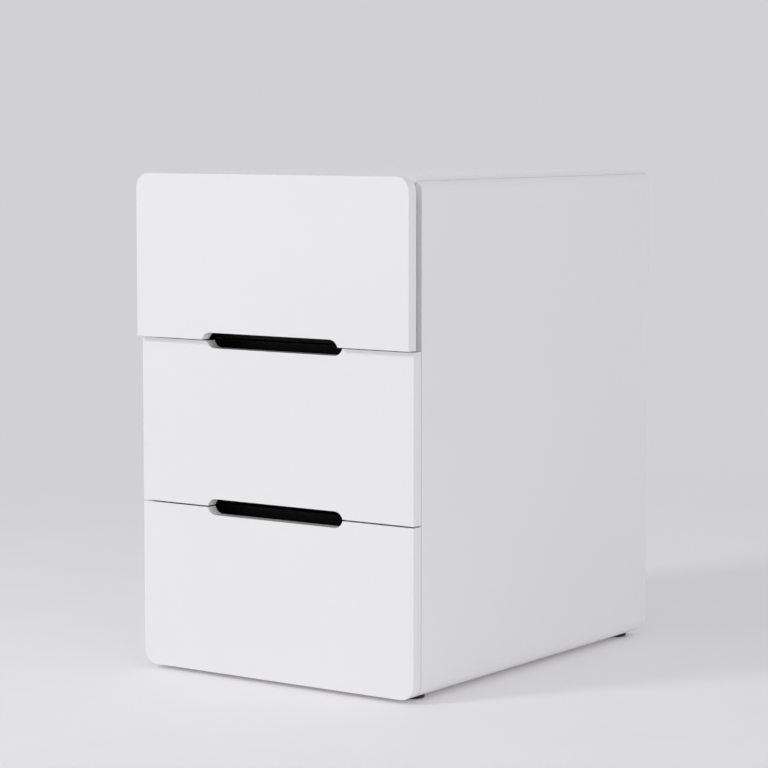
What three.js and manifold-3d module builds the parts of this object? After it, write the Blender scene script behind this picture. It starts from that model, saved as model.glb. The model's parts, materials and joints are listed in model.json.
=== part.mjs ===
// Three-drawer under desk pedestal.
// X runs across the fronts, +Y runs from the fronts to the back, +Z is up, all in millimetres.
// The origin is on the floor, under the middle of the object's box.
import * as THREE from 'three';
import { mergeVertices } from 'three/addons/utils/BufferGeometryUtils.js';
import Module from 'manifold-3d';

const wasm = await Module();
wasm.setup();

// Carcass: a square tube of boards with rounded long edges, lying front to back.
const WIDTH = 400;
const CARCASS_HEIGHT = 600;
const CARCASS_DEPTH = 516;
const BOARD = 18;
const CORNER_RADIUS = 18;
const BACK_THICKNESS = 12;
const BACK_INSET = 3;
const FIT_GAP = 0.3;
const CUT_OVERRUN = 1;

// Fronts: three slabs that cover the whole front of the carcass. Both seams between them lie
// SEAM_RISE above the places that would make the three equal.
const FRONT_THICKNESS = 15;
const FRONT_SEAM = 1.8;
const SEAM_RISE = 1.7;
const BUMPER_GAP = 1.2;
const TOP_DRAWER_OPENING = 10;

// Finger slots: half of each is cut in the front above it and half in the front below it.
const SLOT_LENGTH = 200;
const SLOT_HALF_HEIGHT = 8.8;
const SLOT_END_RADIUS = 12.25;

// Finger pull channels behind the slots.
const CHANNEL_DEPTH = 26;
const CHANNEL_HEIGHT = 23.5;
const CHANNEL_WALL = 2;
const CHANNEL_LENGTH = 212;
const CHANNEL_FLANGE = 8;
const CHANNEL_COVE = 8;
const CHANNEL_EDGE_GAP = 0.5;

// Drawer boxes.
const BOX_DEPTH = 450;
const BOX_HEIGHT = 120;
const BOX_LIFT = 36;
const BOX_WALL = 12;
const BOX_FLOOR = 6;
const BOX_FLOOR_LIFT = 12;
const GROOVE_DEPTH = 5;

// Ball runners: three nested steel channels in the space beside each box.
const RUNNER_SPACE = 12.7;
const RUNNER_LENGTH = 450;
const MIDDLE_RAIL_LENGTH = 420;
const RAIL_STEEL = 1.2;
const RUNNER_LIFT = 45;
const CABINET_RAIL_SETBACK = 3;
const MIDDLE_RAIL_SETBACK = 6;
const DRAWER_RAIL_SETBACK = 1;
const RAIL_SCREW_RADIUS = 2.2;

// Glides under the carcass and threaded inserts in its top.
const GLIDE_HEIGHT = 5;
const GLIDE_RADIUS = 14;
const GLIDE_RIM = 1.2;
const GLIDE_INSET_X = 30;
const GLIDE_INSET_Y = 26;
const INSERT_RADIUS = 5;
const INSERT_BORE_RADIUS = 2.6;
const INSERT_DEPTH = 14;
const INSERT_OFFSET_X = 14;
const INSERT_OFFSET_Y = 180;

// Places worked out from the sizes above.
const HALF_WIDTH = WIDTH / 2;
const INNER_HALF_WIDTH = HALF_WIDTH - BOARD;
const CARCASS_BOTTOM = GLIDE_HEIGHT;
const CARCASS_TOP = CARCASS_BOTTOM + CARCASS_HEIGHT;
const TOTAL_DEPTH = CARCASS_DEPTH + BUMPER_GAP + FRONT_THICKNESS + TOP_DRAWER_OPENING;
const CARCASS_REAR = TOTAL_DEPTH / 2;
const CARCASS_FRONT = CARCASS_REAR - CARCASS_DEPTH;
const CARCASS_MIDDLE = (CARCASS_FRONT + CARCASS_REAR) / 2;
const FRONT_BACK_FACE = CARCASS_FRONT - BUMPER_GAP;
const FRONT_PITCH = (CARCASS_HEIGHT + FRONT_SEAM) / 3;
const FRONT_HEIGHT = FRONT_PITCH - FRONT_SEAM;
const BOX_HALF_WIDTH = INNER_HALF_WIDTH - RUNNER_SPACE;
const BOX_INNER_HALF_WIDTH = BOX_HALF_WIDTH - BOX_WALL;
const BOX_START = FRONT_BACK_FACE + FIT_GAP;

// Each drawer with its front's bottom edge and height. The bottom front takes what the top one gives up.
const LEVELS = [
  {
    name: 'bottom',
    level: 0,
    bottom: CARCASS_BOTTOM,
    height: FRONT_HEIGHT + SEAM_RISE,
    opening: 0,
    slotBelow: false,
    slotAbove: true,
  },
  {
    name: 'middle',
    level: 1,
    bottom: CARCASS_BOTTOM + FRONT_PITCH + SEAM_RISE,
    height: FRONT_HEIGHT,
    opening: 0,
    slotBelow: true,
    slotAbove: true,
  },
  {
    name: 'top',
    level: 2,
    bottom: CARCASS_BOTTOM + 2 * FRONT_PITCH + SEAM_RISE,
    height: FRONT_HEIGHT - SEAM_RISE,
    opening: TOP_DRAWER_OPENING,
    slotBelow: true,
    slotAbove: false,
  },
];

const SIDES = [
  { name: 'left', sign: -1 },
  { name: 'right', sign: 1 },
];

const lacquer = () => new THREE.MeshStandardMaterial({ color: 0xf2f3f5, roughness: 0.16, metalness: 0 });
const melamine = () => new THREE.MeshStandardMaterial({ color: 0xe6e7e8, roughness: 0.5, metalness: 0 });
const black = () => new THREE.MeshStandardMaterial({ color: 0x0b0b0c, roughness: 0.55, metalness: 0 });
const zinc = () => new THREE.MeshStandardMaterial({ color: 0xb9bec2, roughness: 0.35, metalness: 1 });

const pedestal = new THREE.Group();

function addPiece(name, geometry, material, parent = pedestal) {
  const piece = new THREE.Mesh(geometry, material);
  piece.name = name;
  parent.add(piece);
  return piece;
}

// A board between two corners, given as [low, high] pairs.
function board([x0, x1], [y0, y1], [z0, z1]) {
  const geometry = new THREE.BoxGeometry(x1 - x0, y1 - y0, z1 - z0);
  geometry.translate((x0 + x1) / 2, (y0 + y1) / 2, (z0 + z1) / 2);
  return geometry;
}

// A profile drawn in X and Z, extruded from y0 to y1.
function alongY(shape, y0, y1, curveSegments = 12) {
  const settings = { depth: y1 - y0, bevelEnabled: false, curveSegments };
  const geometry = new THREE.ExtrudeGeometry(shape, settings);
  geometry.rotateX(Math.PI / 2);
  geometry.translate(0, y1, 0);
  return geometry;
}

// A profile drawn in Y and Z, extruded from x0 to x1.
function alongX(shape, x0, x1, curveSegments = 8) {
  const settings = { depth: x1 - x0, bevelEnabled: false, curveSegments };
  const geometry = new THREE.ExtrudeGeometry(shape, settings);
  const turn = new THREE.Matrix4().makeBasis(
    new THREE.Vector3(0, 1, 0),
    new THREE.Vector3(0, 0, 1),
    new THREE.Vector3(1, 0, 0),
  );
  geometry.applyMatrix4(turn);
  geometry.translate(x0, 0, 0);
  return geometry;
}

function upright(radius, z0, z1, x, y, segments = 24) {
  const geometry = new THREE.CylinderGeometry(radius, radius, z1 - z0, segments);
  geometry.rotateX(Math.PI / 2);
  geometry.translate(x, y, (z0 + z1) / 2);
  return geometry;
}

function across(radius, x0, x1, y, z, segments = 12) {
  const geometry = new THREE.CylinderGeometry(radius, radius, x1 - x0, segments);
  geometry.rotateZ(Math.PI / 2);
  geometry.translate((x0 + x1) / 2, y, z);
  return geometry;
}

function toSolid(geometry) {
  const bare = geometry.clone();
  bare.deleteAttribute('normal');
  bare.deleteAttribute('uv');
  const merged = mergeVertices(bare, 1e-4);
  const mesh = new wasm.Mesh({
    numProp: 3,
    vertProperties: new Float32Array(merged.attributes.position.array),
    triVerts: new Uint32Array(merged.index.array),
  });
  return new wasm.Manifold(mesh);
}

function toGeometry(solid) {
  const mesh = solid.getMesh();
  const geometry = new THREE.BufferGeometry();
  geometry.setAttribute('position', new THREE.BufferAttribute(new Float32Array(mesh.vertProperties), 3));
  geometry.setIndex(new THREE.BufferAttribute(new Uint32Array(mesh.triVerts), 1));
  geometry.computeVertexNormals();
  return geometry;
}

function cut(geometry, tools) {
  const solid = tools.reduce((rest, tool) => rest.subtract(toSolid(tool)), toSolid(geometry));
  return toGeometry(solid);
}

function join(geometries) {
  return toGeometry(geometries.map(toSolid).reduce((whole, piece) => whole.add(piece)));
}

// Corner arcs of the tube stop just short of the mitre, at 45 degrees.
const MITRE_STEP = (FIT_GAP / 2) * Math.SQRT2;
const MITRE_TURN = FIT_GAP / 2 / CORNER_RADIUS;
const ARC_X = HALF_WIDTH - CORNER_RADIUS;
const ARC_TOP = CARCASS_TOP - CORNER_RADIUS;
const ARC_BOTTOM = CARCASS_BOTTOM + CORNER_RADIUS;

function topPanel() {
  const shape = new THREE.Shape();
  const inner = INNER_HALF_WIDTH - MITRE_STEP;
  shape.moveTo(-inner, CARCASS_TOP - BOARD);
  shape.lineTo(inner, CARCASS_TOP - BOARD);
  shape.absarc(ARC_X, ARC_TOP, CORNER_RADIUS, Math.PI / 4 + MITRE_TURN, Math.PI / 2, false);
  shape.absarc(-ARC_X, ARC_TOP, CORNER_RADIUS, Math.PI / 2, (3 * Math.PI) / 4 - MITRE_TURN, false);
  const pockets = insertPlaces().map(([x, y]) => upright(
    INSERT_RADIUS + FIT_GAP,
    CARCASS_TOP - INSERT_DEPTH - 2 * FIT_GAP,
    CARCASS_TOP + CUT_OVERRUN,
    x,
    y,
  ));
  return cut(alongY(shape, CARCASS_FRONT, CARCASS_REAR, 6), pockets);
}

function bottomPanel() {
  const shape = new THREE.Shape();
  const inner = INNER_HALF_WIDTH - MITRE_STEP;
  shape.moveTo(inner, CARCASS_BOTTOM + BOARD);
  shape.lineTo(-inner, CARCASS_BOTTOM + BOARD);
  shape.absarc(-ARC_X, ARC_BOTTOM, CORNER_RADIUS, (5 * Math.PI) / 4 + MITRE_TURN, (3 * Math.PI) / 2, false);
  shape.absarc(ARC_X, ARC_BOTTOM, CORNER_RADIUS, (3 * Math.PI) / 2, (7 * Math.PI) / 4 - MITRE_TURN, false);
  return alongY(shape, CARCASS_FRONT, CARCASS_REAR, 6);
}

function sidePanel(sign) {
  const shape = new THREE.Shape();
  const low = CARCASS_BOTTOM + BOARD + MITRE_STEP;
  const high = CARCASS_TOP - BOARD - MITRE_STEP;
  shape.moveTo(INNER_HALF_WIDTH, high);
  shape.lineTo(INNER_HALF_WIDTH, low);
  shape.absarc(ARC_X, ARC_BOTTOM, CORNER_RADIUS, -Math.PI / 4 + MITRE_TURN, 0, false);
  shape.absarc(ARC_X, ARC_TOP, CORNER_RADIUS, 0, Math.PI / 4 - MITRE_TURN, false);
  const geometry = alongY(shape, CARCASS_FRONT, CARCASS_REAR, 6);
  if (sign < 0) {
    geometry.rotateZ(Math.PI);
    geometry.translate(0, 2 * CARCASS_MIDDLE, 0);
  }
  return geometry;
}

function backPanel() {
  const rear = CARCASS_REAR - BACK_INSET;
  const halfWidth = INNER_HALF_WIDTH - FIT_GAP;
  return board(
    [-halfWidth, halfWidth],
    [rear - BACK_THICKNESS, rear],
    [CARCASS_BOTTOM + BOARD + FIT_GAP, CARCASS_TOP - BOARD - FIT_GAP],
  );
}

function insertPlaces() {
  return [-1, 1].flatMap((end) => [-1, 1].map((side) => [
    side * INSERT_OFFSET_X,
    CARCASS_MIDDLE + end * INSERT_OFFSET_Y,
  ]));
}

function threadedInsert(x, y) {
  const top = CARCASS_TOP - FIT_GAP;
  const sleeve = upright(INSERT_RADIUS, top - INSERT_DEPTH, top, x, y);
  const low = top - INSERT_DEPTH - CUT_OVERRUN;
  return cut(sleeve, [upright(INSERT_BORE_RADIUS, low, top + CUT_OVERRUN, x, y, 16)]);
}

function glide() {
  const top = GLIDE_HEIGHT - FIT_GAP;
  const points = [
    new THREE.Vector2(0, 0),
    new THREE.Vector2(GLIDE_RADIUS - GLIDE_RIM, 0),
    new THREE.Vector2(GLIDE_RADIUS, GLIDE_RIM),
    new THREE.Vector2(GLIDE_RADIUS, top),
    new THREE.Vector2(0, top),
  ];
  const geometry = new THREE.LatheGeometry(points, 28);
  geometry.rotateX(Math.PI / 2);
  return geometry;
}

// The centre of a slot's end arc lies just outside the edge that the slot is cut into.
const SLOT_ARC_DROP = SLOT_END_RADIUS - SLOT_HALF_HEIGHT;
const SLOT_ARC_REACH = Math.sqrt(SLOT_END_RADIUS ** 2 - SLOT_ARC_DROP ** 2);
const SLOT_ARC_X = SLOT_LENGTH / 2 - SLOT_ARC_REACH;
const SLOT_ARC_TILT = Math.asin(SLOT_ARC_DROP / SLOT_END_RADIUS);

function drawBottomEdge(shape, drawer) {
  if (drawer.level === 0) {
    shape.moveTo(-ARC_X, 0);
    shape.lineTo(ARC_X, 0);
    shape.absarc(ARC_X, CORNER_RADIUS, CORNER_RADIUS, -Math.PI / 2, 0, false);
    return;
  }
  shape.moveTo(-HALF_WIDTH, 0);
  if (drawer.slotBelow) {
    shape.lineTo(-SLOT_LENGTH / 2, 0);
    shape.absarc(-SLOT_ARC_X, -SLOT_ARC_DROP, SLOT_END_RADIUS, Math.PI - SLOT_ARC_TILT, Math.PI / 2, true);
    shape.absarc(SLOT_ARC_X, -SLOT_ARC_DROP, SLOT_END_RADIUS, Math.PI / 2, SLOT_ARC_TILT, true);
  }
  shape.lineTo(HALF_WIDTH, 0);
}

function drawTopEdge(shape, drawer) {
  const top = drawer.height;
  if (drawer.level === 2) {
    shape.absarc(ARC_X, top - CORNER_RADIUS, CORNER_RADIUS, 0, Math.PI / 2, false);
    shape.absarc(-ARC_X, top - CORNER_RADIUS, CORNER_RADIUS, Math.PI / 2, Math.PI, false);
    return;
  }
  shape.lineTo(HALF_WIDTH, top);
  if (drawer.slotAbove) {
    const centre = top + SLOT_ARC_DROP;
    shape.absarc(SLOT_ARC_X, centre, SLOT_END_RADIUS, -SLOT_ARC_TILT, -Math.PI / 2, true);
    shape.absarc(-SLOT_ARC_X, centre, SLOT_END_RADIUS, -Math.PI / 2, -Math.PI + SLOT_ARC_TILT, true);
  }
  shape.lineTo(-HALF_WIDTH, top);
}

// A front's outline, drawn up from its own bottom edge.
function frontSlab(drawer) {
  const shape = new THREE.Shape();
  drawBottomEdge(shape, drawer);
  drawTopEdge(shape, drawer);
  if (drawer.level === 0) {
    shape.absarc(-ARC_X, CORNER_RADIUS, CORNER_RADIUS, Math.PI, (3 * Math.PI) / 2, false);
  }
  return alongY(shape, FRONT_BACK_FACE - FRONT_THICKNESS, FRONT_BACK_FACE);
}

// A finger channel behind a front's edge, drawn away from the edge: a roof, a coved back wall, a
// fixing flange and two end walls.
function fingerChannel(direction, edge) {
  const half = CHANNEL_LENGTH / 2;
  const front = FRONT_BACK_FACE + FIT_GAP;
  const rear = FRONT_BACK_FACE + CHANNEL_DEPTH;
  const roof = CHANNEL_HEIGHT;
  const cove = CHANNEL_COVE;
  const inner = cove - CHANNEL_WALL;
  const profile = new THREE.Shape();
  profile.moveTo(rear, CHANNEL_EDGE_GAP);
  profile.lineTo(rear, roof - cove);
  profile.absarc(rear - cove, roof - cove, cove, 0, Math.PI / 2, false);
  profile.lineTo(front + CHANNEL_WALL, roof);
  profile.lineTo(front + CHANNEL_WALL, roof + CHANNEL_FLANGE);
  profile.lineTo(front, roof + CHANNEL_FLANGE);
  profile.lineTo(front, roof - CHANNEL_WALL);
  profile.absarc(rear - cove, roof - cove, inner, Math.PI / 2, 0, true);
  profile.lineTo(rear - CHANNEL_WALL, CHANNEL_EDGE_GAP);
  const end = new THREE.Shape();
  end.moveTo(front, CHANNEL_EDGE_GAP);
  end.lineTo(rear, CHANNEL_EDGE_GAP);
  end.absarc(rear - cove, roof - cove, cove, 0, Math.PI / 2, false);
  end.lineTo(front, roof);
  const channel = join([
    alongX(profile, -half, half),
    alongX(end, -half, -half + CHANNEL_WALL),
    alongX(end, half - CHANNEL_WALL, half),
  ]);
  if (direction < 0) {
    channel.rotateY(Math.PI);
  }
  channel.translate(0, 0, edge);
  return channel;
}

function boxSide(sign) {
  const inner = BOX_INNER_HALF_WIDTH;
  const grooveLow = BOX_FLOOR_LIFT - FIT_GAP;
  const grooveHigh = BOX_FLOOR_LIFT + BOX_FLOOR + FIT_GAP;
  const grooveEnd = inner + GROOVE_DEPTH + FIT_GAP;
  const outline = [
    [inner, 0], [BOX_HALF_WIDTH, 0], [BOX_HALF_WIDTH, BOX_HEIGHT], [inner, BOX_HEIGHT],
    [inner, grooveHigh], [grooveEnd, grooveHigh], [grooveEnd, grooveLow], [inner, grooveLow],
  ];
  const shape = new THREE.Shape(outline.map(([x, z]) => new THREE.Vector2(sign * x, z)));
  return alongY(shape, BOX_START, BOX_START + BOX_DEPTH);
}

// A cross wall of the box, with its floor groove on the side that faces the drawer's inside.
function boxCrossWall(outerFace, facing) {
  const inner = outerFace + facing * BOX_WALL;
  const grooveEnd = inner - facing * (GROOVE_DEPTH + FIT_GAP);
  const grooveLow = BOX_FLOOR_LIFT - FIT_GAP;
  const grooveHigh = BOX_FLOOR_LIFT + BOX_FLOOR + FIT_GAP;
  const outline = [
    [outerFace, 0], [inner, 0], [inner, grooveLow], [grooveEnd, grooveLow],
    [grooveEnd, grooveHigh], [inner, grooveHigh], [inner, BOX_HEIGHT], [outerFace, BOX_HEIGHT],
  ];
  const shape = new THREE.Shape(outline.map(([y, z]) => new THREE.Vector2(y, z)));
  const half = BOX_INNER_HALF_WIDTH - FIT_GAP;
  return alongX(shape, -half, half);
}

function boxFloor() {
  const half = BOX_INNER_HALF_WIDTH + GROOVE_DEPTH;
  const inset = BOX_WALL - GROOVE_DEPTH;
  return board(
    [-half, half],
    [BOX_START + inset, BOX_START + BOX_DEPTH - inset],
    [BOX_FLOOR_LIFT, BOX_FLOOR_LIFT + BOX_FLOOR],
  );
}

// A C-shaped rail. webFrom is its web's distance from the carcass side, lipTo is where its
// flanges end, and halfHeight is half its outer height.
function rail(sign, { webFrom, lipTo, halfHeight }, start, length, holes) {
  const facing = Math.sign(lipTo - webFrom);
  const web = webFrom + facing * RAIL_STEEL;
  const hollow = halfHeight - RAIL_STEEL;
  const outline = [
    [webFrom, -halfHeight], [lipTo, -halfHeight], [lipTo, -hollow], [web, -hollow],
    [web, hollow], [lipTo, hollow], [lipTo, halfHeight], [webFrom, halfHeight],
  ];
  const place = (distance) => sign * (INNER_HALF_WIDTH - distance);
  const shape = new THREE.Shape(outline.map(([d, z]) => new THREE.Vector2(place(d), z)));
  const geometry = alongY(shape, start, start + length);
  if (holes.length === 0) {
    return geometry;
  }
  const low = Math.min(place(webFrom), place(web)) - CUT_OVERRUN;
  const high = Math.max(place(webFrom), place(web)) + CUT_OVERRUN;
  return cut(geometry, holes.map((y) => across(RAIL_SCREW_RADIUS, low, high, start + y, 0)));
}

// Where each rail stands in the runner space, and where its screw holes lie from its front end.
const CABINET_RAIL = { webFrom: 0.3, lipTo: 9.3, halfHeight: 22.85 };
const MIDDLE_RAIL = { webFrom: 2.6, lipTo: 10.4, halfHeight: 17.3 };
const DRAWER_RAIL = { webFrom: 12.4, lipTo: 4.8, halfHeight: 11.8 };
const CABINET_RAIL_HOLES = [37, 229, 413];
const DRAWER_RAIL_HOLES = [35, 195, 355];

function addRunners(drawer, frontBottom, body) {
  const height = frontBottom + BOX_LIFT + RUNNER_LIFT;
  const cabinetStart = CARCASS_FRONT + CABINET_RAIL_SETBACK;
  const middleStart = CARCASS_FRONT + MIDDLE_RAIL_SETBACK;
  const drawerStart = CARCASS_FRONT + DRAWER_RAIL_SETBACK;
  for (const side of SIDES) {
    const prefix = `${drawer.name}_${side.name}_runner`;
    const cabinetRail = rail(side.sign, CABINET_RAIL, cabinetStart, RUNNER_LENGTH, CABINET_RAIL_HOLES);
    addPiece(`${prefix}_cabinet_rail`, cabinetRail, zinc()).position.z = height;
    const middleRail = rail(side.sign, MIDDLE_RAIL, middleStart, MIDDLE_RAIL_LENGTH, []);
    const middle = addPiece(`${prefix}_middle_rail`, middleRail, zinc());
    middle.position.set(0, -drawer.opening / 2, height);
    const drawerRail = rail(side.sign, DRAWER_RAIL, drawerStart, RUNNER_LENGTH, DRAWER_RAIL_HOLES);
    addPiece(`${prefix}_drawer_rail`, drawerRail, zinc(), body).position.z = height;
  }
}

function addDrawer(drawer) {
  const frontBottom = drawer.bottom;
  const body = new THREE.Group();
  body.position.y = -drawer.opening;
  pedestal.add(body);
  addPiece(`${drawer.name}_front`, frontSlab(drawer), lacquer(), body).position.z = frontBottom;
  if (drawer.slotBelow) {
    addPiece(`${drawer.name}_lower_finger_channel`, fingerChannel(1, frontBottom), black(), body);
  }
  if (drawer.slotAbove) {
    const edge = frontBottom + drawer.height;
    addPiece(`${drawer.name}_upper_finger_channel`, fingerChannel(-1, edge), black(), body);
  }
  const box = new THREE.Group();
  box.position.z = frontBottom + BOX_LIFT;
  body.add(box);
  for (const side of SIDES) {
    addPiece(`${drawer.name}_box_${side.name}_side`, boxSide(side.sign), melamine(), box);
  }
  addPiece(`${drawer.name}_box_front`, boxCrossWall(BOX_START, 1), melamine(), box);
  addPiece(`${drawer.name}_box_back`, boxCrossWall(BOX_START + BOX_DEPTH, -1), melamine(), box);
  addPiece(`${drawer.name}_box_floor`, boxFloor(), melamine(), box);
  addRunners(drawer, frontBottom, body);
}

addPiece('top_panel', topPanel(), lacquer());
addPiece('bottom_panel', bottomPanel(), lacquer());
for (const side of SIDES) {
  addPiece(`${side.name}_side_panel`, sidePanel(side.sign), lacquer());
}
addPiece('back_panel', backPanel(), lacquer());

const GLIDE_ENDS = [
  { name: 'front', y: CARCASS_FRONT + GLIDE_INSET_Y },
  { name: 'rear', y: CARCASS_REAR - GLIDE_INSET_Y },
];

for (const side of SIDES) {
  for (const end of GLIDE_ENDS) {
    const foot = addPiece(`${end.name}_${side.name}_glide`, glide(), black());
    foot.position.set(side.sign * (HALF_WIDTH - GLIDE_INSET_X), end.y, 0);
  }
}

insertPlaces().forEach(([x, y], index) => {
  addPiece(`desk_insert_${index + 1}`, threadedInsert(x, y), zinc());
});

LEVELS.forEach(addDrawer);

export default pedestal;
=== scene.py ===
"""Looks for the three-drawer under desk pedestal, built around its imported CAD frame.

Everything is in metres in the row frame: X across the fronts, -Y the way the fronts face, Z up.
"""

import json
import math

import bmesh
import bpy
from mathutils import Matrix, Vector

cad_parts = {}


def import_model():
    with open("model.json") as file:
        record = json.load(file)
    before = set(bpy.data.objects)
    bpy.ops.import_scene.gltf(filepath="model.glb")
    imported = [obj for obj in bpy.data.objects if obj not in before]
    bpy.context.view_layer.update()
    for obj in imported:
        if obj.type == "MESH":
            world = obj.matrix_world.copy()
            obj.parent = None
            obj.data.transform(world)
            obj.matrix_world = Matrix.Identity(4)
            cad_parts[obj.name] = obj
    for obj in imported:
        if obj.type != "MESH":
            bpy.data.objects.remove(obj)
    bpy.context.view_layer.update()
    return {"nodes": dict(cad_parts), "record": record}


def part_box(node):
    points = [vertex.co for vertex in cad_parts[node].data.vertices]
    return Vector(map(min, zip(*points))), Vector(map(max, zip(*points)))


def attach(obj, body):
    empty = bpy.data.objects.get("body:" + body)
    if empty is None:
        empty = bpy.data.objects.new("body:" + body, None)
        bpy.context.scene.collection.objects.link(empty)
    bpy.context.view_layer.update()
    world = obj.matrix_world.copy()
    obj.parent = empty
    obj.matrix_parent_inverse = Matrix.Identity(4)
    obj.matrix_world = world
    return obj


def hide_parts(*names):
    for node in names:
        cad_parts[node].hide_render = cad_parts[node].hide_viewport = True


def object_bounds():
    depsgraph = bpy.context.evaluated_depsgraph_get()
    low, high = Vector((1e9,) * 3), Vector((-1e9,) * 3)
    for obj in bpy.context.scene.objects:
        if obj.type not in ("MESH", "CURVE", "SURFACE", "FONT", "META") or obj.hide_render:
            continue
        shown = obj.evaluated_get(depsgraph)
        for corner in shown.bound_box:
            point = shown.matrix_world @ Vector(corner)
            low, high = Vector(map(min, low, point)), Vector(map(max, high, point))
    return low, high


MM = 0.001
DRAWERS = ("bottom", "middle", "top")
SIDES = {"left": -1, "right": 1}
CHANNELS = {
    "bottom_upper_finger_channel": "bottom",
    "middle_lower_finger_channel": "middle",
    "middle_upper_finger_channel": "middle",
    "top_lower_finger_channel": "top",
}


# ---------------------------------------------------------------- camera, light and floor

CAMERA_AZIMUTH = 35.22
CAMERA_ELEVATION = 5.553
CAMERA_DISTANCE = 3.407
CAMERA_LENS = 127.3
CAMERA_OFFSET = Vector((-0.0190, -0.0091, 0.0361))  # slides the camera without turning it

ROOM_COLOUR = (0.640, 0.638, 0.664)
CEILING_COLOUR = (0.42, 0.42, 0.44)
FLOOR_COLOUR = (0.80, 0.795, 0.80)
# painted glow of the floor; it fades out under the carcass, leaving a painted shadow beneath it
FLOOR_GLOW = (0.120, 0.116, 0.126)
FOOTPRINT_HALF = (0.200, 0.266)  # half the carcass's width, and half its depth with the fronts
FLOOR_NEAR_RADIUS = 0.80  # where the floor starts to fade into the room
FLOOR_FAR_RADIUS = 2.4
FLOOR_DIAMETER = 14.0
FLOOR_DROP = 0.0002  # keeps the floor clear of the glides

# Each softbox: azimuth, elevation and distance, then width and height, power, and whether gloss
# mirrors it.
SOFTBOXES = {
    "front_softbox": ((-26.0, 30.0, 4.0), (0.75, 0.75), 41.0, False),
    "high_softbox": ((20.0, 70.0, 3.2), (2.4, 2.4), 6.0, True),
    "right_softbox": ((62.0, 10.0, 4.0), (2.4, 1.8), 18.5, False),
}


def box_centre():
    low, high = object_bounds()
    return (Vector(low) + Vector(high)) / 2


def make_camera():
    data = bpy.data.cameras.new("camera")
    data.lens = CAMERA_LENS
    data.sensor_width = 36.0
    data.clip_end = 40.0
    camera = bpy.data.objects.new("camera", data)
    bpy.context.scene.collection.objects.link(camera)
    place = around(CAMERA_AZIMUTH, CAMERA_ELEVATION, CAMERA_DISTANCE)
    camera.location = place + CAMERA_OFFSET
    camera.rotation_euler = (box_centre() - place).to_track_quat("-Z", "Y").to_euler()
    bpy.context.scene.camera = camera


def area_light(name, place, aim, size, power, mirrored):
    """A softbox at place, turned to aim. Glossy surfaces show its reflection only if mirrored."""
    data = bpy.data.lights.new(name, "AREA")
    data.shape = "RECTANGLE"
    data.size, data.size_y = size
    data.energy = power
    light = bpy.data.objects.new(name, data)
    bpy.context.scene.collection.objects.link(light)
    light.location = place
    light.rotation_euler = (Vector(aim) - Vector(place)).to_track_quat("-Z", "Y").to_euler()
    light.visible_glossy = mirrored


def around(azimuth, elevation, distance):
    """A place round the object: azimuth from the fronts' side, elevation above the horizon."""
    a, e = math.radians(azimuth), math.radians(elevation)
    away = Vector((math.sin(a) * math.cos(e), -math.cos(a) * math.cos(e), math.sin(e)))
    return box_centre() + away * distance


def make_lights():
    aim = box_centre()
    for name, (place, size, power, mirrored) in SOFTBOXES.items():
        area_light(name, around(*place), aim, size, power, mirrored)


def make_world():
    """An even pale room, darker overhead, with no bright specks from light bounced by gloss."""
    world = bpy.data.worlds.new("room")
    world.use_nodes = True
    nodes, links = world.node_tree.nodes, world.node_tree.links
    direction = nodes.new("ShaderNodeSeparateXYZ")
    links.new(nodes.new("ShaderNodeTexCoord").outputs["Generated"], direction.inputs["Vector"])
    shade = ramp(nodes, links, direction.outputs["Z"], (ROOM_COLOUR, CEILING_COLOUR), 0.45, 0.95)
    links.new(shade, nodes["Background"].inputs["Color"])
    bpy.context.scene.world = world
    scene = bpy.context.scene
    scene.view_settings.view_transform = "Standard"
    scene.cycles.caustics_reflective = False
    scene.cycles.caustics_refractive = False
    scene.cycles.sample_clamp_indirect = 4.0


def floor_material():
    """Matt pale floor with a painted glow, faded out under the carcass to leave a painted shadow
    there, that turns into the room's own tone far from the object.
    """
    material, nodes, links, shader = principled("floor")
    shader.inputs["Roughness"].default_value = 0.75
    place = nodes.new("ShaderNodeTexCoord")
    distance = nodes.new("ShaderNodeVectorMath")
    distance.operation = "LENGTH"
    links.new(place.outputs["Object"], distance.inputs[0])
    fade = nodes.new("ShaderNodeMapRange")
    fade.interpolation_type = "SMOOTHSTEP"
    fade.inputs["From Min"].default_value = FLOOR_NEAR_RADIUS
    fade.inputs["From Max"].default_value = FLOOR_FAR_RADIUS
    links.new(distance.outputs["Value"], fade.inputs["Value"])
    grain = noise(nodes, links, place.outputs["Object"], 9.0, 3.0)
    tint = ramp(nodes, links, grain, (scaled(FLOOR_COLOUR, 0.985), FLOOR_COLOUR))
    links.new(tint, shader.inputs["Base Color"])
    # Painted glow on the floor, zero under the carcass's footprint so that a painted shadow lies
    # beneath it
    open_floor = footprint_distance(nodes, links, place.outputs["Object"])
    painted_glow_and_shadow = ramp(nodes, links, open_floor, ((0.0, 0.0, 0.0), FLOOR_GLOW), 0.36, 0.46)
    links.new(painted_glow_and_shadow, shader.inputs["Emission Color"])
    shader.inputs["Emission Strength"].default_value = 1.0
    glow = nodes.new("ShaderNodeEmission")
    glow.inputs["Color"].default_value = (*ROOM_COLOUR, 1.0)
    blend = nodes.new("ShaderNodeMixShader")
    links.new(fade.outputs["Result"], blend.inputs["Fac"])
    links.new(shader.outputs["BSDF"], blend.inputs[1])
    links.new(glow.outputs["Emission"], blend.inputs[2])
    links.new(blend.outputs["Shader"], nodes["Material Output"].inputs["Surface"])
    return material


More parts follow.
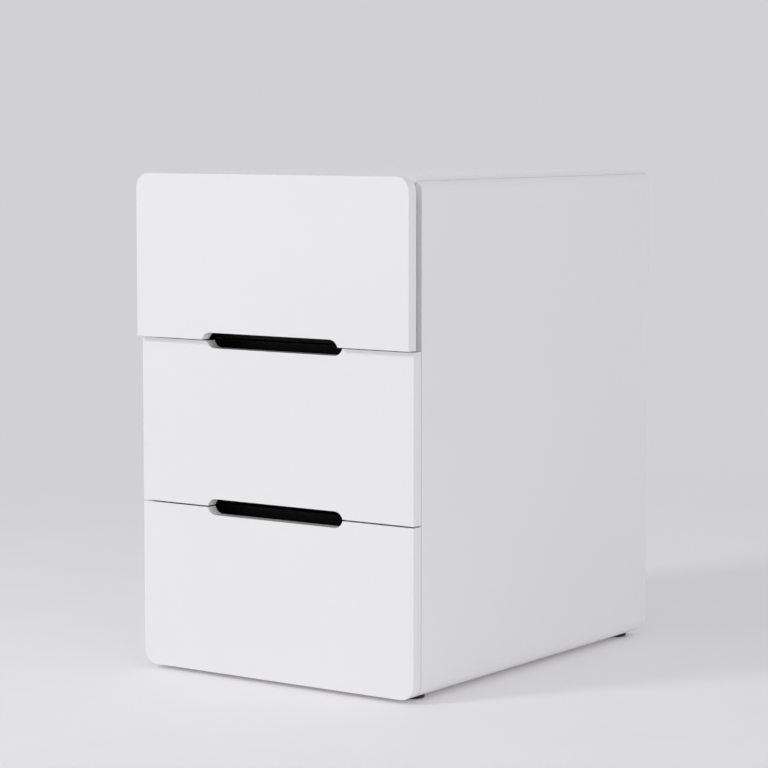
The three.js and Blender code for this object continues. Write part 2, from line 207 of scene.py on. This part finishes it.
def footprint_distance(nodes, links, vector):
    """0.5 on the outline of the carcass's footprint, less under it and more on the open floor."""
    split = nodes.new("ShaderNodeSeparateXYZ")
    links.new(vector, split.inputs["Vector"])
    reaches = []
    for axis, half, centre in zip("XY", FOOTPRINT_HALF, box_centre()):
        away = nodes.new("ShaderNodeMath")
        away.operation = "SUBTRACT"
        away.inputs[1].default_value = centre
        links.new(split.outputs[axis], away.inputs[0])
        size = nodes.new("ShaderNodeMath")
        size.operation = "ABSOLUTE"
        links.new(away.outputs["Value"], size.inputs[0])
        reach = nodes.new("ShaderNodeMath")
        reach.operation = "MULTIPLY"
        reach.inputs[1].default_value = 0.5 / half
        links.new(size.outputs["Value"], reach.inputs[0])
        reaches.append(reach.outputs["Value"])
    furthest = nodes.new("ShaderNodeMath")
    furthest.operation = "MAXIMUM"
    for value, socket in zip(reaches, furthest.inputs):
        links.new(value, socket)
    return furthest.outputs["Value"]


def make_floor():
    bm = bmesh.new()
    bmesh.ops.create_circle(bm, cap_ends=True, segments=64, radius=FLOOR_DIAMETER / 2)
    floor = new_object("floor", bm)
    floor.location.z = -FLOOR_DROP
    floor.data.materials.append(floor_material())


# ---------------------------------------------------------------- node and mesh helpers

def principled(name):
    material = bpy.data.materials.new(name)
    material.use_nodes = True
    nodes = material.node_tree.nodes
    return material, nodes, material.node_tree.links, nodes["Principled BSDF"]


def scaled(colour, factor):
    return tuple(value * factor for value in colour)


def coordinates(nodes, links, stretch=(1.0, 1.0, 1.0)):
    """Object coordinates, stretched along each axis, in metres."""
    source = nodes.new("ShaderNodeTexCoord")
    mapping = nodes.new("ShaderNodeMapping")
    mapping.inputs["Scale"].default_value = stretch
    links.new(source.outputs["Object"], mapping.inputs["Vector"])
    return mapping.outputs["Vector"]


def noise(nodes, links, vector, scale, detail, roughness=0.5):
    texture = nodes.new("ShaderNodeTexNoise")
    texture.inputs["Scale"].default_value = scale
    texture.inputs["Detail"].default_value = detail
    texture.inputs["Roughness"].default_value = roughness
    links.new(vector, texture.inputs["Vector"])
    return texture.outputs["Fac"]


def ramp(nodes, links, value, colours, low=0.3, high=0.7):
    """Value from low to high turned into a blend of two colours."""
    blend = nodes.new("ShaderNodeValToRGB")
    for element, position, colour in zip(blend.color_ramp.elements, (low, high), colours):
        element.position = position
        element.color = (*colour, 1.0)
    links.new(value, blend.inputs["Fac"])
    return blend.outputs["Color"]


def spread(nodes, links, value, low, high):
    """Value from 0.3 to 0.7 spread over low to high."""
    reach = nodes.new("ShaderNodeMapRange")
    reach.inputs["From Min"].default_value = 0.3
    reach.inputs["From Max"].default_value = 0.7
    reach.inputs["To Min"].default_value = low
    reach.inputs["To Max"].default_value = high
    links.new(value, reach.inputs["Value"])
    return reach.outputs["Result"]


def bump(nodes, links, height, strength, distance):
    relief = nodes.new("ShaderNodeBump")
    relief.inputs["Strength"].default_value = strength
    relief.inputs["Distance"].default_value = distance
    links.new(height, relief.inputs["Height"])
    return relief.outputs["Normal"]


def new_object(name, bm):
    mesh = bpy.data.meshes.new(name)
    bm.to_mesh(mesh)
    bm.free()
    thing = bpy.data.objects.new(name, mesh)
    bpy.context.scene.collection.objects.link(thing)
    return thing


def add_piece(name, bm, body, material, smooth_angle=35.0):
    """A detail piece made of bm, riding on a body, smooth except at its hard edges."""
    bmesh.ops.recalc_face_normals(bm, faces=bm.faces[:])
    limit = math.radians(smooth_angle)
    for edge in bm.edges:
        edge.smooth = len(edge.link_faces) == 2 and edge.calc_face_angle(0.0) < limit
    for face in bm.faces:
        face.smooth = True
    piece = new_object(name, bm)
    piece.data.materials.append(material)
    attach(piece, body)
    return piece


def ease_edges(node, width, segments):
    """Rounds every hard edge of a CAD node with modifiers, which leave its mesh as it is."""
    for polygon in node.data.polygons:
        polygon.use_smooth = True
    weld = node.modifiers.new("weld", "WELD")
    weld.merge_threshold = 0.02 * MM
    flats = node.modifiers.new("flats", "DECIMATE")
    flats.decimate_type = "DISSOLVE"
    flats.angle_limit = math.radians(0.6)
    rounding = node.modifiers.new("rounding", "BEVEL")
    rounding.width = width
    rounding.segments = segments
    rounding.limit_method = "ANGLE"
    rounding.angle_limit = math.radians(35.0)
    rounding.use_clamp_overlap = True
    normals = node.modifiers.new("normals", "WEIGHTED_NORMAL")
    normals.keep_sharp = False
    normals.weight = 90


def lathe(bm, profile, place, axis, segments):
    """Adds a solid of revolution. profile is a list of (radius, height) pairs along the axis."""
    turn = {
        "Z": Matrix.Identity(4),
        "X": Matrix.Rotation(math.radians(90.0), 4, "Y"),
        "-X": Matrix.Rotation(math.radians(-90.0), 4, "Y"),
        "Y": Matrix.Rotation(math.radians(-90.0), 4, "X"),
    }[axis]
    where = Matrix.Translation(place) @ turn
    rings = []
    for radius, height in profile:
        if radius == 0:
            rings.append([bm.verts.new(where @ Vector((0, 0, height)))])
            continue
        angles = [2 * math.pi * step / segments for step in range(segments)]
        ring = [(radius * math.cos(a), radius * math.sin(a), height) for a in angles]
        rings.append([bm.verts.new(where @ Vector(point)) for point in ring])
    for lower, upper in zip(rings, rings[1:]):
        for step in range(segments):
            after = (step + 1) % segments
            corners = [lower[step % len(lower)], lower[after % len(lower)]]
            corners += [upper[after % len(upper)], upper[step % len(upper)]]
            unique = list(dict.fromkeys(corners))
            if len(unique) > 2:
                bm.faces.new(unique)


# ---------------------------------------------------------------- materials

def white_lacquer():
    """High-gloss white lacquer: faint orange peel under a clear coat, with slight polish marks."""
    material, nodes, links, shader = principled("white_lacquer")
    place = coordinates(nodes, links)
    cloud = noise(nodes, links, place, 4.0, 2.0)
    tint = ramp(nodes, links, cloud, ((0.870, 0.870, 0.876), (0.882, 0.882, 0.888)))
    links.new(tint, shader.inputs["Base Color"])
    polish = noise(nodes, links, place, 22.0, 2.0)
    links.new(spread(nodes, links, polish, 0.21, 0.27), shader.inputs["Roughness"])
    shader.inputs["Coat Weight"].default_value = 0.6
    shader.inputs["Coat Roughness"].default_value = 0.06
    shader.inputs["IOR"].default_value = 1.48
    peel = noise(nodes, links, place, 260.0, 1.5)
    links.new(bump(nodes, links, peel, 0.05, 0.1 * MM), shader.inputs["Normal"])
    links.new(bump(nodes, links, peel, 0.03, 0.1 * MM), shader.inputs["Coat Normal"])
    return material


def drawer_board():
    """Pale grey-white melamine with a fine pressed grain running front to back."""
    material, nodes, links, shader = principled("drawer_board")
    place = coordinates(nodes, links, (1.0, 0.12, 1.0))
    grain = noise(nodes, links, place, 420.0, 3.0, 0.6)
    cloud = noise(nodes, links, coordinates(nodes, links), 7.0, 2.0)
    tint = ramp(nodes, links, cloud, ((0.76, 0.765, 0.775), (0.80, 0.805, 0.812)))
    links.new(tint, shader.inputs["Base Color"])
    links.new(spread(nodes, links, grain, 0.42, 0.56), shader.inputs["Roughness"])
    links.new(bump(nodes, links, grain, 0.18, 0.12 * MM), shader.inputs["Normal"])
    return material


def black_channel():
    """Satin black moulded plastic with a fine spark-eroded texture."""
    material, nodes, links, shader = principled("black_channel")
    place = coordinates(nodes, links)
    grain = noise(nodes, links, place, 1500.0, 3.0, 0.6)
    cloud = noise(nodes, links, place, 20.0, 3.0)
    tint = ramp(nodes, links, cloud, ((0.0020, 0.0020, 0.0022), (0.0040, 0.0040, 0.0043)))
    links.new(tint, shader.inputs["Base Color"])
    links.new(spread(nodes, links, grain, 0.48, 0.64), shader.inputs["Roughness"])
    links.new(bump(nodes, links, grain, 0.25, 0.05 * MM), shader.inputs["Normal"])
    shader.inputs["Specular IOR Level"].default_value = 0.2
    return material


def black_nylon():
    """Black nylon of the glides, scuffed a little paler in patches."""
    material, nodes, links, shader = principled("black_nylon")
    place = coordinates(nodes, links)
    scuff = noise(nodes, links, place, 240.0, 5.0, 0.7)
    tint = ramp(nodes, links, scuff, ((0.010, 0.010, 0.011), (0.030, 0.030, 0.031)), 0.45, 0.75)
    links.new(tint, shader.inputs["Base Color"])
    links.new(spread(nodes, links, scuff, 0.38, 0.62), shader.inputs["Roughness"])
    links.new(bump(nodes, links, scuff, 0.2, 0.05 * MM), shader.inputs["Normal"])
    return material


def runner_steel():
    """Zinc-plated rolled steel: long drawn streaks along the rail, with faint bluish clouding."""
    material, nodes, links, shader = principled("runner_steel")
    streaks = noise(nodes, links, coordinates(nodes, links, (1.0, 0.015, 1.0)), 1800.0, 3.0)
    cloud = noise(nodes, links, coordinates(nodes, links), 30.0, 3.0)
    tint = ramp(nodes, links, cloud, ((0.50, 0.53, 0.57), (0.62, 0.63, 0.64)))
    links.new(tint, shader.inputs["Base Color"])
    shader.inputs["Metallic"].default_value = 1.0
    links.new(spread(nodes, links, streaks, 0.26, 0.42), shader.inputs["Roughness"])
    links.new(bump(nodes, links, streaks, 0.12, 0.03 * MM), shader.inputs["Normal"])
    return material


def zinc_insert():
    """Yellowish zinc plating of the threaded inserts and screws."""
    material, nodes, links, shader = principled("zinc_insert")
    place = coordinates(nodes, links)
    cloud = noise(nodes, links, place, 300.0, 4.0, 0.6)
    tint = ramp(nodes, links, cloud, ((0.55, 0.53, 0.46), (0.68, 0.67, 0.62)))
    links.new(tint, shader.inputs["Base Color"])
    shader.inputs["Metallic"].default_value = 1.0
    links.new(spread(nodes, links, cloud, 0.24, 0.44), shader.inputs["Roughness"])
    links.new(bump(nodes, links, cloud, 0.1, 0.02 * MM), shader.inputs["Normal"])
    return material


def polished_steel():
    """Hardened bearing balls, nearly mirror bright under a film of grease."""
    material, nodes, links, shader = principled("polished_steel")
    film = noise(nodes, links, coordinates(nodes, links), 500.0, 3.0)
    tint = ramp(nodes, links, film, ((0.56, 0.57, 0.58), (0.66, 0.66, 0.66)))
    links.new(tint, shader.inputs["Base Color"])
    shader.inputs["Metallic"].default_value = 1.0
    links.new(spread(nodes, links, film, 0.06, 0.18), shader.inputs["Roughness"])
    return material


def soft_bumper():
    """Milky silicone of the small bumpers behind the fronts."""
    material, nodes, links, shader = principled("soft_bumper")
    haze = noise(nodes, links, coordinates(nodes, links), 400.0, 3.0)
    tint = ramp(nodes, links, haze, ((0.70, 0.71, 0.71), (0.78, 0.79, 0.79)))
    links.new(tint, shader.inputs["Base Color"])
    links.new(spread(nodes, links, haze, 0.25, 0.4), shader.inputs["Roughness"])
    shader.inputs["Subsurface Weight"].default_value = 0.3
    shader.inputs["Subsurface Scale"].default_value = 1.5 * MM
    return material


MAKERS = (
    white_lacquer, drawer_board, black_channel, black_nylon,
    runner_steel, zinc_insert, polished_steel, soft_bumper,
)


# ---------------------------------------------------------------- CAD nodes

FRONT_ROUNDING = 1.6 * MM
CARCASS_ROUNDING = 0.25 * MM
BOX_ROUNDING = 0.7 * MM
CHANNEL_ROUNDING = 0.45 * MM
RAIL_ROUNDING = 0.3 * MM


def finish_cad_nodes(frame, materials):
    """Material and edge rounding of every CAD node, by the material slot the record gives it."""
    slots = {part["node"]: part["material_slot"] for part in frame["record"]["subparts"]}
    looks = {
        "white_lacquer": ("white_lacquer", CARCASS_ROUNDING, 3),
        "drawer_board": ("drawer_board", BOX_ROUNDING, 3),
        "black_channel": ("black_channel", CHANNEL_ROUNDING, 2),
        "black_plastic_glide": ("black_nylon", CHANNEL_ROUNDING, 2),
        "runner_steel": ("runner_steel", RAIL_ROUNDING, 2),
        "zinc_insert": ("zinc_insert", RAIL_ROUNDING, 2),
    }
    for name, node in frame["nodes"].items():
        look, width, segments = looks[slots[name]]
        if name.endswith("_front") and slots[name] == "white_lacquer":
            width, segments = FRONT_ROUNDING, 4
        node.data.materials.clear()
        node.data.materials.append(materials[look])
        ease_edges(node, width, segments)


# ---------------------------------------------------------------- fittings

SCREW_HEAD_RADIUS = 3.1 * MM
SCREW_HEAD_RISE = 0.7 * MM
CORNER_SCREW_INSET = 8 * MM

# Screws of the rails: how far each stands behind its rail's front end.
CABINET_SCREWS = (37 * MM, 229 * MM, 413 * MM)
CABINET_SCREW_RISE = 0.25 * MM  # low enough for the ball cage to pass over
DRAWER_SCREWS = (35 * MM, 195 * MM, 355 * MM)
DRAWER_SCREW_RISE = 1.5 * MM

# Screws that hold a front to its box: a rectangle of four, a little above the box front's middle.
FRONT_SCREW_RADIUS = 4 * MM
FRONT_SCREW_RISE = 1.4 * MM
FRONT_SCREW_X = 110 * MM
FRONT_SCREW_Z = 34 * MM
FRONT_SCREW_LIFT = 4 * MM

CHANNEL_SCREW_RADIUS = 2.4 * MM
CHANNEL_SCREW_RISE = 1 * MM
CHANNEL_SCREW_INSET = 4 * MM  # from the edge of the flange to the screws
CHANNEL_SCREW_SPREAD = 0.42  # from the middle screw to an outer one, as a share of the length
FLANGE_FACE = 2.3 * MM  # the flange's rear face, behind the front's back

RAIL_STEEL = 1.2 * MM
BALL_RADIUS = 1.95 * MM
BALL_PITCH = 12 * MM
CAGE_LENGTH = 176 * MM
CAGE_STEEL = 0.5 * MM
CAGE_SETBACK = 3 * MM
CAGE_LIP_INSET = 0.4 * MM  # from the mouth of the outer rail to the cage's lips

BUMPER_RADIUS = 4 * MM
BUMPER_RISE = 0.8 * MM
BUMPER_INSET = 30 * MM

# Blocks of an end buffer: where each starts ahead of the rail's rear end, how far it stands off
# the web, and half its height.
BUFFER_PLATE = (14 * MM, 2.6 * MM, 11 * MM)
BUFFER_NOSE = (12 * MM, 6.6 * MM, 4 * MM)
BUFFER_END = 1 * MM
NOSE_OFFSET = 16.5 * MM
BLOCK_ROUNDING = 1 * MM


def outer_and_inner_x(node, sign):
    """X of a node's outer face and of its inner face. The node is on the side that sign gives."""
    low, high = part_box(node)
    return (high.x, low.x) if sign > 0 else (low.x, high.x)


def half_height_of(node):
    low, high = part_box(node)
    return (high.z - low.z) / 2


def screw_head(bm, place, axis, radius=SCREW_HEAD_RADIUS, rise=SCREW_HEAD_RISE):
    """A domed pan head with a round-bottomed cross recess, standing on place along axis."""
    dome = [(0, 0), (radius * 0.96, 0), (radius, rise * 0.25), (radius * 0.93, rise * 0.62)]
    dome += [(radius * 0.74, rise * 0.9), (radius * 0.56, rise)]
    dome += [(radius * 0.46, rise * 0.94), (radius * 0.34, rise * 0.5), (0, rise * 0.3)]
    lathe(bm, dome, place, axis, 20)
    cross_arms(bm, place, axis, radius, rise)


def cross_arms(bm, place, axis, radius, rise):
    """Four raised webs between the arms of the cross recess, inside the socket of a screw head."""
    for quarter in range(4):
        turn = math.radians(45 + 90 * quarter)
        side, up = radius * 0.3 * math.cos(turn), radius * 0.3 * math.sin(turn)
        across = Vector((side, 0, up)) if axis == "Y" else Vector((0, side, up))
        post = [(0, rise * 0.2), (radius * 0.17, rise * 0.2)]
        post += [(radius * 0.14, rise * 0.88), (0, rise * 0.9)]
        lathe(bm, post, Vector(place) + across, axis, 8)


def make_glides(materials):
    """Black nylon glides: a rounded foot with a countersunk socket, nailed up by a domed pin."""
    for corner in ("front_left", "front_right", "rear_left", "rear_right"):
        node = f"{corner}_glide"
        low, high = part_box(node)
        centre = Vector(((low.x + high.x) / 2, (low.y + high.y) / 2, low.z))
        radius, height = (high.x - low.x) / 2, high.z - low.z
        foot = [(0, height), (radius * 0.93, height), (radius * 0.93, height * 0.78)]
        foot += [(radius * 0.97, height * 0.74), (radius, height * 0.64), (radius, height * 0.34)]
        foot += [(radius * 0.975, height * 0.16), (radius * 0.92, height * 0.05)]
        foot += [(radius * 0.86, 0)]
        foot += [(radius * 0.5, 0), (radius * 0.46, height * 0.06), (radius * 0.34, height * 0.5)]
        foot += [(0, height * 0.5)]
        bm = bmesh.new()
        lathe(bm, foot, centre, "Z", 48)
        piece = add_piece(f"{corner}_glide_foot", bm, "carcass",
                          materials["black_nylon"])
        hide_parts(node)
        bm = bmesh.new()
        pin = [(0, height * 0.22), (radius * 0.1, height * 0.24), (radius * 0.19, height * 0.32)]
        pin += [(radius * 0.23, height * 0.42), (radius * 0.23, height * 0.5), (0, height * 0.5)]
        lathe(bm, pin, centre, "Z", 24)
        add_piece(f"{corner}_glide_pin", bm, "carcass", materials["zinc_insert"])


def make_inserts(materials):
    """Threaded inserts for the desk rail: a chamfered sleeve with thread grooves down its bore."""
    for number in range(1, 5):
        node = f"desk_insert_{number}"
        low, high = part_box(node)
        centre = Vector(((low.x + high.x) / 2, (low.y + high.y) / 2, low.z))
        radius, depth = (high.x - low.x) / 2, high.z - low.z
        bore, root, pitch = radius * 0.52, radius * 0.6, 1.0 * MM
        sleeve = [(bore, 0), (radius * 0.94, 0), (radius * 0.94, depth - 0.9 * MM)]
        sleeve += [(radius, depth - 0.7 * MM), (radius, depth - 0.15 * MM)]
        sleeve += [(radius * 0.97, depth), (radius * 0.68, depth), (root, depth - 0.5 * MM)]
        for turn in range(int(depth / pitch) - 1):
            top = depth - 0.7 * MM - turn * pitch
            sleeve += [(bore, top - 0.15 * MM), (bore, top - 0.3 * MM), (root, top - 0.75 * MM)]
        sleeve += [(bore, 0)]
        bm = bmesh.new()
        lathe(bm, sleeve, centre, "Z", 32)
        bmesh.ops.remove_doubles(bm, verts=bm.verts[:], dist=0.001 * MM)
        piece = add_piece(f"{node}_sleeve", bm, "carcass", materials["zinc_insert"])
        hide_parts(node)


def channel_strip(bm, web_from, web_to, lip_to, half_height, centre_z, start, end):
    """A bent C strip along Y: its web spans web_from to web_to in X, its lips reach lip_to."""
    inner = half_height - CAGE_STEEL
    outline = [(web_from, half_height), (web_from, -half_height), (lip_to, -half_height)]
    outline += [(lip_to, -inner), (web_to, -inner), (web_to, inner), (lip_to, inner)]
    outline += [(lip_to, half_height)]
    ends = [[bm.verts.new((x, y, centre_z + z)) for x, z in outline] for y in (start, end)]
    for step in range(len(outline)):
        after = (step + 1) % len(outline)
        bm.faces.new((ends[0][step], ends[0][after], ends[1][after], ends[1][step]))
    for ring in ends:
        bm.faces.new(ring)


def ball_row(bm, x, z, start, end):
    """Bearing balls standing in a row along Y."""
    count = int((end - start) / BALL_PITCH)
    first = (start + end) / 2 - BALL_PITCH * (count - 1) / 2
    for step in range(count):
        centre = Matrix.Translation((x, first + step * BALL_PITCH, z))
        bmesh.ops.create_uvsphere(
            bm, u_segments=12, v_segments=8, radius=BALL_RADIUS, matrix=centre,
        )


def make_cages(drawer, side, materials):
    """Two ball cages: one between cabinet and middle rail, one between middle and drawer rail."""
    body = f"{drawer}_runner_middle"
    runner = f"{drawer}_{side}_runner"
    sign = SIDES[side]
    cabinet_outer, cabinet_inner = outer_and_inner_x(f"{runner}_cabinet_rail", sign)
    middle_outer, middle_inner = outer_and_inner_x(f"{runner}_middle_rail", sign)
    drawn_outer, _ = outer_and_inner_x(f"{runner}_drawer_rail", sign)
    low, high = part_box(f"{runner}_middle_rail")
    centre_z = (low.z + high.z) / 2
    half_cabinet = half_height_of(f"{runner}_cabinet_rail")
    half_middle = half_height_of(f"{runner}_middle_rail")
    half_drawn = half_height_of(f"{runner}_drawer_rail")
    cages = (
        ("outer", cabinet_outer - sign * RAIL_STEEL, middle_outer,
         cabinet_inner + sign * CAGE_LIP_INSET,
         half_middle, half_cabinet - RAIL_STEEL, high.y - CAGE_SETBACK - CAGE_LENGTH),
        ("inner", middle_outer - sign * RAIL_STEEL, drawn_outer,
         middle_inner + sign * CAGE_LIP_INSET,
         half_drawn, half_middle - RAIL_STEEL, low.y + CAGE_SETBACK),
    )
    for place, web_face, next_face, lip_to, inside, outside, start in cages:
        web_middle = (web_face + next_face) / 2
        ball_height = (inside + outside) / 2
        bm = bmesh.new()
        channel_strip(bm, web_middle + sign * CAGE_STEEL / 2, web_middle - sign * CAGE_STEEL / 2,
                      lip_to, ball_height + CAGE_STEEL / 2, centre_z, start, start + CAGE_LENGTH)
        add_piece(f"{runner}_{place}_cage", bm, body, materials["runner_steel"])
        bm = bmesh.new()
        ball_x = (next_face + lip_to) / 2
        for up in (1, -1):
            ball_row(bm, ball_x, centre_z + up * ball_height, start, start + CAGE_LENGTH)
        add_piece(f"{runner}_{place}_balls", bm, body, materials["polished_steel"],
                  60.0)


def make_rail_screws(drawer, side, materials):
    """Pan-head screws through the webs of the cabinet rail and the drawer rail."""
    sign = SIDES[side]
    facing = "-X" if sign > 0 else "X"
    outward = "X" if sign > 0 else "-X"
    runner = f"{drawer}_{side}_runner"
    low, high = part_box(f"{runner}_cabinet_rail")
    web = outer_and_inner_x(f"{runner}_cabinet_rail", sign)[0] - sign * RAIL_STEEL
    bm = bmesh.new()
    for along in CABINET_SCREWS:
        screw_head(bm, (web, low.y + along, (low.z + high.z) / 2), facing, rise=CABINET_SCREW_RISE)
    add_piece(f"{runner}_cabinet_screws", bm, "carcass", materials["zinc_insert"])
    low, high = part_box(f"{runner}_drawer_rail")
    web = outer_and_inner_x(f"{runner}_drawer_rail", sign)[1] + sign * RAIL_STEEL
    bm = bmesh.new()
    for along in DRAWER_SCREWS:
        screw_head(bm, (web, low.y + along, (low.z + high.z) / 2), outward, rise=DRAWER_SCREW_RISE)
    add_piece(f"{runner}_drawer_screws", bm, f"{drawer}_drawer",
              materials["zinc_insert"])


def make_box_screws(drawer, materials):
    """Screws at the corners of the drawer box, and those that hold the front, inside the box."""
    bm = bmesh.new()
    for side, sign in SIDES.items():
        low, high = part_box(f"{drawer}_box_{side}_side")
        face = outer_and_inner_x(f"{drawer}_box_{side}_side", sign)[0]
        for y in (low.y + CORNER_SCREW_INSET, high.y - CORNER_SCREW_INSET):
            for z in (low.z + CORNER_SCREW_INSET, high.z - CORNER_SCREW_INSET):
                screw_head(bm, (face, y, z), "X" if sign > 0 else "-X")
    low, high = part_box(f"{drawer}_box_front")
    middle_z = (low.z + high.z) / 2 + FRONT_SCREW_LIFT
    for x in (-FRONT_SCREW_X, FRONT_SCREW_X):
        for z in (middle_z - FRONT_SCREW_Z, middle_z + FRONT_SCREW_Z):
            screw_head(bm, (x, high.y, z), "Y", FRONT_SCREW_RADIUS, FRONT_SCREW_RISE)
    add_piece(f"{drawer}_box_screws", bm, f"{drawer}_drawer",
              materials["zinc_insert"])


def make_bumpers(drawer, materials):
    """Soft bumpers behind the front, where it meets the edges of the side panels."""
    low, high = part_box(f"{drawer}_front")
    panel_low, panel_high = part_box("right_side_panel")
    panel_x = (panel_low.x + panel_high.x) / 2
    dome = [(0, 0), (BUMPER_RADIUS, 0), (BUMPER_RADIUS, BUMPER_RISE * 0.4)]
    dome += [(BUMPER_RADIUS * 0.9, BUMPER_RISE * 0.8), (BUMPER_RADIUS * 0.6, BUMPER_RISE)]
    dome += [(0, BUMPER_RISE)]
    bm = bmesh.new()
    for sign in (-1, 1):
        for z in (low.z + BUMPER_INSET, high.z - BUMPER_INSET):
            lathe(bm, dome, (sign * panel_x, high.y, z), "Y", 24)
    add_piece(f"{drawer}_bumpers", bm, f"{drawer}_drawer",
              materials["soft_bumper"])


def make_buffers(drawer, side, materials):
    """Black end buffer in the rear of the cabinet rail: a flat block between two stop noses."""
    sign = SIDES[side]
    runner = f"{drawer}_{side}_runner"
    low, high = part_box(f"{runner}_cabinet_rail")
    centre_z = (low.z + high.z) / 2
    web = outer_and_inner_x(f"{runner}_cabinet_rail", sign)[0] - sign * RAIL_STEEL
    blocks = (
        (centre_z, BUFFER_PLATE),
        (centre_z - NOSE_OFFSET, BUFFER_NOSE),
        (centre_z + NOSE_OFFSET, BUFFER_NOSE),
    )
    bm = bmesh.new()
    for z, (start, thickness, half) in blocks:
        rounded_block(bm, (web, high.y - start, z - half),
                      (web - sign * thickness, high.y - BUFFER_END, z + half))
    add_piece(f"{runner}_buffer", bm, "carcass", materials["black_nylon"])


def rounded_block(bm, first, last):
    """A block between two corners with its edges rounded."""
    low = Vector(map(min, zip(first, last)))
    high = Vector(map(max, zip(first, last)))
    size = high - low
    where = Matrix.Translation((low + high) / 2) @ Matrix.Diagonal((*size, 1.0))
    block = bmesh.ops.create_cube(bm, size=1.0, matrix=where)
    edges = {edge for vert in block["verts"] for edge in vert.link_edges}
    bmesh.ops.bevel(
        bm, geom=list(edges), offset=BLOCK_ROUNDING, segments=3, profile=0.5, affect="EDGES",
    )


def make_channel_screws(materials):
    """Small black screws through the flanges of the finger channels, behind the fronts."""
    for channel, drawer in CHANNELS.items():
        low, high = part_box(channel)
        front_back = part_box(f"{drawer}_front")[1].y
        upper = "upper" in channel
        z = low.z + CHANNEL_SCREW_INSET if upper else high.z - CHANNEL_SCREW_INSET
        bm = bmesh.new()
        for step in (-1, 0, 1):
            x = step * (high.x - low.x) * CHANNEL_SCREW_SPREAD
            screw_head(bm, (x, front_back + FLANGE_FACE, z), "Y", CHANNEL_SCREW_RADIUS,
                       CHANNEL_SCREW_RISE)
        add_piece(f"{channel}_screws", bm, f"{drawer}_drawer",
                  materials["black_nylon"])


def make_fittings(materials):
    make_glides(materials)
    make_inserts(materials)
    make_channel_screws(materials)
    for drawer in DRAWERS:
        make_box_screws(drawer, materials)
        make_bumpers(drawer, materials)
        for side in SIDES:
            make_cages(drawer, side, materials)
            make_rail_screws(drawer, side, materials)
            make_buffers(drawer, side, materials)


def main():
    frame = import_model()
    make_camera()
    make_world()
    make_lights()
    make_floor()
    materials = {make.__name__: make() for make in MAKERS}
    finish_cad_nodes(frame, materials)
    make_fittings(materials)


main()
